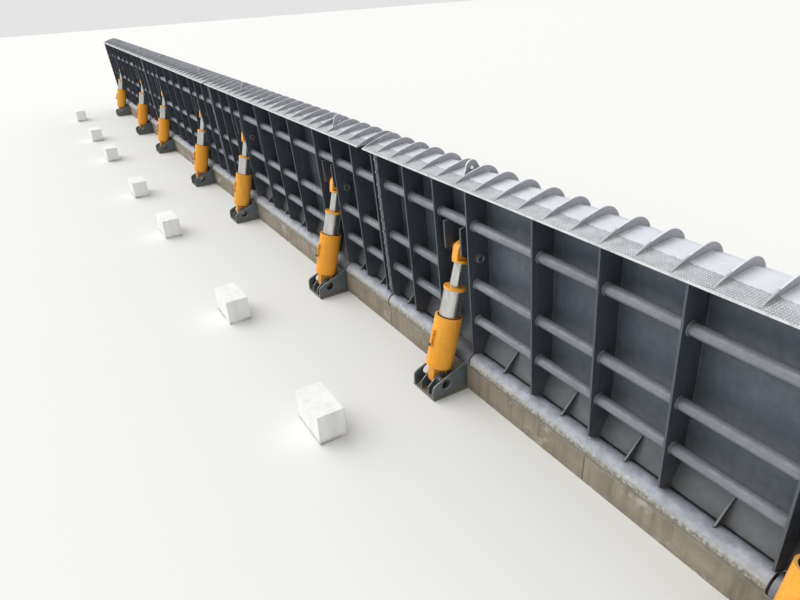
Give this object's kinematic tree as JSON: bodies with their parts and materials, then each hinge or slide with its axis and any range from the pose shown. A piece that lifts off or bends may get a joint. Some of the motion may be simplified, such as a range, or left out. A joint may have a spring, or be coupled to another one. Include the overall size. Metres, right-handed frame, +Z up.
{
  "type": "hydraulic steel dam gate",
  "caption": "Row of bottom-hinged steel gate leaves with ribs, pipes and a finned crest on a concrete kerb, each leaf held up by telescopic hydraulic cylinders in floor brackets.",
  "frame": {"origin": "on the kerb's underside, below the hinge axis, in the middle of the row", "axes": "+X along the gate, +Y upstream, +Z up"},
  "size_m": [24.5, 2.095, 2.2198],
  "materials": {
    "kerb_concrete": "matte",
    "block_concrete": "matte",
    "bracket_paint": "satin",
    "pin_steel": "satin",
    "leaf_paint": "satin",
    "pipe_paint": "gloss",
    "crest_paint": "satin",
    "hinge_tube_paint": "satin",
    "cylinder_orange": "satin",
    "stage_steel": "satin",
    "rod_steel": "satin"
  },
  "bodies": {
    "foundation": {"kerb": "kerb_concrete", "floor_brackets": "bracket_paint", "base_pins": "pin_steel", "hinge_knuckles": "bracket_paint", "rest_blocks": "block_concrete"},
    "leaf_1": {"leaf_1_skin": "leaf_paint", "leaf_1_ribs": "leaf_paint", "leaf_1_pipes": "pipe_paint", "leaf_1_crest": "crest_paint", "leaf_1_hinge_tubes": "hinge_tube_paint"},
    "leaf_2": {"leaf_2_skin": "leaf_paint", "leaf_2_ribs": "leaf_paint", "leaf_2_pipes": "pipe_paint", "leaf_2_crest": "crest_paint", "leaf_2_hinge_tubes": "hinge_tube_paint"},
    "leaf_3": {"leaf_3_skin": "leaf_paint", "leaf_3_ribs": "leaf_paint", "leaf_3_pipes": "pipe_paint", "leaf_3_crest": "crest_paint", "leaf_3_hinge_tubes": "hinge_tube_paint"},
    "leaf_4": {"leaf_4_skin": "leaf_paint", "leaf_4_ribs": "leaf_paint", "leaf_4_pipes": "pipe_paint", "leaf_4_crest": "crest_paint", "leaf_4_hinge_tubes": "hinge_tube_paint"},
    "barrel_1": {"cylinder_1_barrel": "cylinder_orange"},
    "stage_1": {"cylinder_1_stage": "stage_steel"},
    "rod_1": {"cylinder_1_rod": "rod_steel"},
    "barrel_2": {"cylinder_2_barrel": "cylinder_orange"},
    "stage_2": {"cylinder_2_stage": "stage_steel"},
    "rod_2": {"cylinder_2_rod": "rod_steel"},
    "barrel_3": {"cylinder_3_barrel": "cylinder_orange"},
    "stage_3": {"cylinder_3_stage": "stage_steel"},
    "rod_3": {"cylinder_3_rod": "rod_steel"},
    "barrel_4": {"cylinder_4_barrel": "cylinder_orange"},
    "stage_4": {"cylinder_4_stage": "stage_steel"},
    "rod_4": {"cylinder_4_rod": "rod_steel"},
    "barrel_5": {"cylinder_5_barrel": "cylinder_orange"},
    "stage_5": {"cylinder_5_stage": "stage_steel"},
    "rod_5": {"cylinder_5_rod": "rod_steel"},
    "barrel_6": {"cylinder_6_barrel": "cylinder_orange"},
    "stage_6": {"cylinder_6_stage": "stage_steel"},
    "rod_6": {"cylinder_6_rod": "rod_steel"},
    "barrel_7": {"cylinder_7_barrel": "cylinder_orange"},
    "stage_7": {"cylinder_7_stage": "stage_steel"},
    "rod_7": {"cylinder_7_rod": "rod_steel"},
    "barrel_8": {"cylinder_8_barrel": "cylinder_orange"},
    "stage_8": {"cylinder_8_stage": "stage_steel"},
    "rod_8": {"cylinder_8_rod": "rod_steel"}
  },
  "joints": [
    {"name": "leaf_1_hinge", "type": "hinge", "parent": "foundation", "child": "leaf_1", "pos_m": [-9, 0, 0.325], "axis": [1, 0, 0], "range_deg": [0, 84]},
    {"name": "leaf_2_hinge", "type": "hinge", "parent": "foundation", "child": "leaf_2", "pos_m": [-3, 0, 0.325], "axis": [1, 0, 0], "range_deg": [0, 84]},
    {"name": "leaf_3_hinge", "type": "hinge", "parent": "foundation", "child": "leaf_3", "pos_m": [3, 0, 0.325], "axis": [1, 0, 0], "range_deg": [0, 84]},
    {"name": "leaf_4_hinge", "type": "hinge", "parent": "foundation", "child": "leaf_4", "pos_m": [9, 0, 0.325], "axis": [1, 0, 0], "range_deg": [0, 84]},
    {"name": "barrel_1_swing", "type": "hinge", "parent": "foundation", "child": "barrel_1", "pos_m": [-10.7, -0.315, 0.135], "axis": [1, 0, 0], "range_deg": [0, 82.3]},
    {"name": "stage_1_slide", "type": "slide", "parent": "barrel_1", "child": "stage_1", "axis": [0, -0.2411, -0.9705], "range_m": [0, 0.3001]},
    {"name": "rod_1_slide", "type": "slide", "parent": "stage_1", "child": "rod_1", "axis": [0, -0.2411, -0.9705], "range_m": [0, 0.1913]},
    {"name": "barrel_2_swing", "type": "hinge", "parent": "foundation", "child": "barrel_2", "pos_m": [-7.3, -0.315, 0.135], "axis": [1, 0, 0], "range_deg": [0, 82.3]},
    {"name": "stage_2_slide", "type": "slide", "parent": "barrel_2", "child": "stage_2", "axis": [0, -0.2411, -0.9705], "range_m": [0, 0.3001]},
    {"name": "rod_2_slide", "type": "slide", "parent": "stage_2", "child": "rod_2", "axis": [0, -0.2411, -0.9705], "range_m": [0, 0.1913]},
    {"name": "barrel_3_swing", "type": "hinge", "parent": "foundation", "child": "barrel_3", "pos_m": [-4.7, -0.315, 0.135], "axis": [1, 0, 0], "range_deg": [0, 82.3]},
    {"name": "stage_3_slide", "type": "slide", "parent": "barrel_3", "child": "stage_3", "axis": [0, -0.2411, -0.9705], "range_m": [0, 0.3001]},
    {"name": "rod_3_slide", "type": "slide", "parent": "stage_3", "child": "rod_3", "axis": [0, -0.2411, -0.9705], "range_m": [0, 0.1913]},
    {"name": "barrel_4_swing", "type": "hinge", "parent": "foundation", "child": "barrel_4", "pos_m": [-1.3, -0.315, 0.135], "axis": [1, 0, 0], "range_deg": [0, 82.3]},
    {"name": "stage_4_slide", "type": "slide", "parent": "barrel_4", "child": "stage_4", "axis": [0, -0.2411, -0.9705], "range_m": [0, 0.3001]},
    {"name": "rod_4_slide", "type": "slide", "parent": "stage_4", "child": "rod_4", "axis": [0, -0.2411, -0.9705], "range_m": [0, 0.1913]},
    {"name": "barrel_5_swing", "type": "hinge", "parent": "foundation", "child": "barrel_5", "pos_m": [1.3, -0.315, 0.135], "axis": [1, 0, 0], "range_deg": [0, 82.3]},
    {"name": "stage_5_slide", "type": "slide", "parent": "barrel_5", "child": "stage_5", "axis": [0, -0.2411, -0.9705], "range_m": [0, 0.3001]},
    {"name": "rod_5_slide", "type": "slide", "parent": "stage_5", "child": "rod_5", "axis": [0, -0.2411, -0.9705], "range_m": [0, 0.1913]},
    {"name": "barrel_6_swing", "type": "hinge", "parent": "foundation", "child": "barrel_6", "pos_m": [4.7, -0.315, 0.135], "axis": [1, 0, 0], "range_deg": [0, 82.3]},
    {"name": "stage_6_slide", "type": "slide", "parent": "barrel_6", "child": "stage_6", "axis": [0, -0.2411, -0.9705], "range_m": [0, 0.3001]},
    {"name": "rod_6_slide", "type": "slide", "parent": "stage_6", "child": "rod_6", "axis": [0, -0.2411, -0.9705], "range_m": [0, 0.1913]},
    {"name": "barrel_7_swing", "type": "hinge", "parent": "foundation", "child": "barrel_7", "pos_m": [7.3, -0.315, 0.135], "axis": [1, 0, 0], "range_deg": [0, 82.3]},
    {"name": "stage_7_slide", "type": "slide", "parent": "barrel_7", "child": "stage_7", "axis": [0, -0.2411, -0.9705], "range_m": [0, 0.3001]},
    {"name": "rod_7_slide", "type": "slide", "parent": "stage_7", "child": "rod_7", "axis": [0, -0.2411, -0.9705], "range_m": [0, 0.1913]},
    {"name": "barrel_8_swing", "type": "hinge", "parent": "foundation", "child": "barrel_8", "pos_m": [10.7, -0.315, 0.135], "axis": [1, 0, 0], "range_deg": [0, 82.3]},
    {"name": "stage_8_slide", "type": "slide", "parent": "barrel_8", "child": "stage_8", "axis": [0, -0.2411, -0.9705], "range_m": [0, 0.3001]},
    {"name": "rod_8_slide", "type": "slide", "parent": "stage_8", "child": "rod_8", "axis": [0, -0.2411, -0.9705], "range_m": [0, 0.1913]}
  ],
  "couplings": [
    {"joint": "barrel_1_swing", "follows": "leaf_1_hinge", "ratio": 0.97827},
    {"joint": "stage_1_slide", "follows": "leaf_1_hinge", "m_per_rad": 0.20463},
    {"joint": "rod_1_slide", "follows": "leaf_1_hinge", "m_per_rad": 0.13041},
    {"joint": "barrel_2_swing", "follows": "leaf_1_hinge", "ratio": 0.97827},
    {"joint": "stage_2_slide", "follows": "leaf_1_hinge", "m_per_rad": 0.20463},
    {"joint": "rod_2_slide", "follows": "leaf_1_hinge", "m_per_rad": 0.13041},
    {"joint": "barrel_3_swing", "follows": "leaf_2_hinge", "ratio": 0.97827},
    {"joint": "stage_3_slide", "follows": "leaf_2_hinge", "m_per_rad": 0.20463},
    {"joint": "rod_3_slide", "follows": "leaf_2_hinge", "m_per_rad": 0.13041},
    {"joint": "barrel_4_swing", "follows": "leaf_2_hinge", "ratio": 0.97827},
    {"joint": "stage_4_slide", "follows": "leaf_2_hinge", "m_per_rad": 0.20463},
    {"joint": "rod_4_slide", "follows": "leaf_2_hinge", "m_per_rad": 0.13041},
    {"joint": "barrel_5_swing", "follows": "leaf_3_hinge", "ratio": 0.97827},
    {"joint": "stage_5_slide", "follows": "leaf_3_hinge", "m_per_rad": 0.20463},
    {"joint": "rod_5_slide", "follows": "leaf_3_hinge", "m_per_rad": 0.13041},
    {"joint": "barrel_6_swing", "follows": "leaf_3_hinge", "ratio": 0.97827},
    {"joint": "stage_6_slide", "follows": "leaf_3_hinge", "m_per_rad": 0.20463},
    {"joint": "rod_6_slide", "follows": "leaf_3_hinge", "m_per_rad": 0.13041},
    {"joint": "barrel_7_swing", "follows": "leaf_4_hinge", "ratio": 0.97827},
    {"joint": "stage_7_slide", "follows": "leaf_4_hinge", "m_per_rad": 0.20463},
    {"joint": "rod_7_slide", "follows": "leaf_4_hinge", "m_per_rad": 0.13041},
    {"joint": "barrel_8_swing", "follows": "leaf_4_hinge", "ratio": 0.97827},
    {"joint": "stage_8_slide", "follows": "leaf_4_hinge", "m_per_rad": 0.20463},
    {"joint": "rod_8_slide", "follows": "leaf_4_hinge", "m_per_rad": 0.13041}
  ]
}
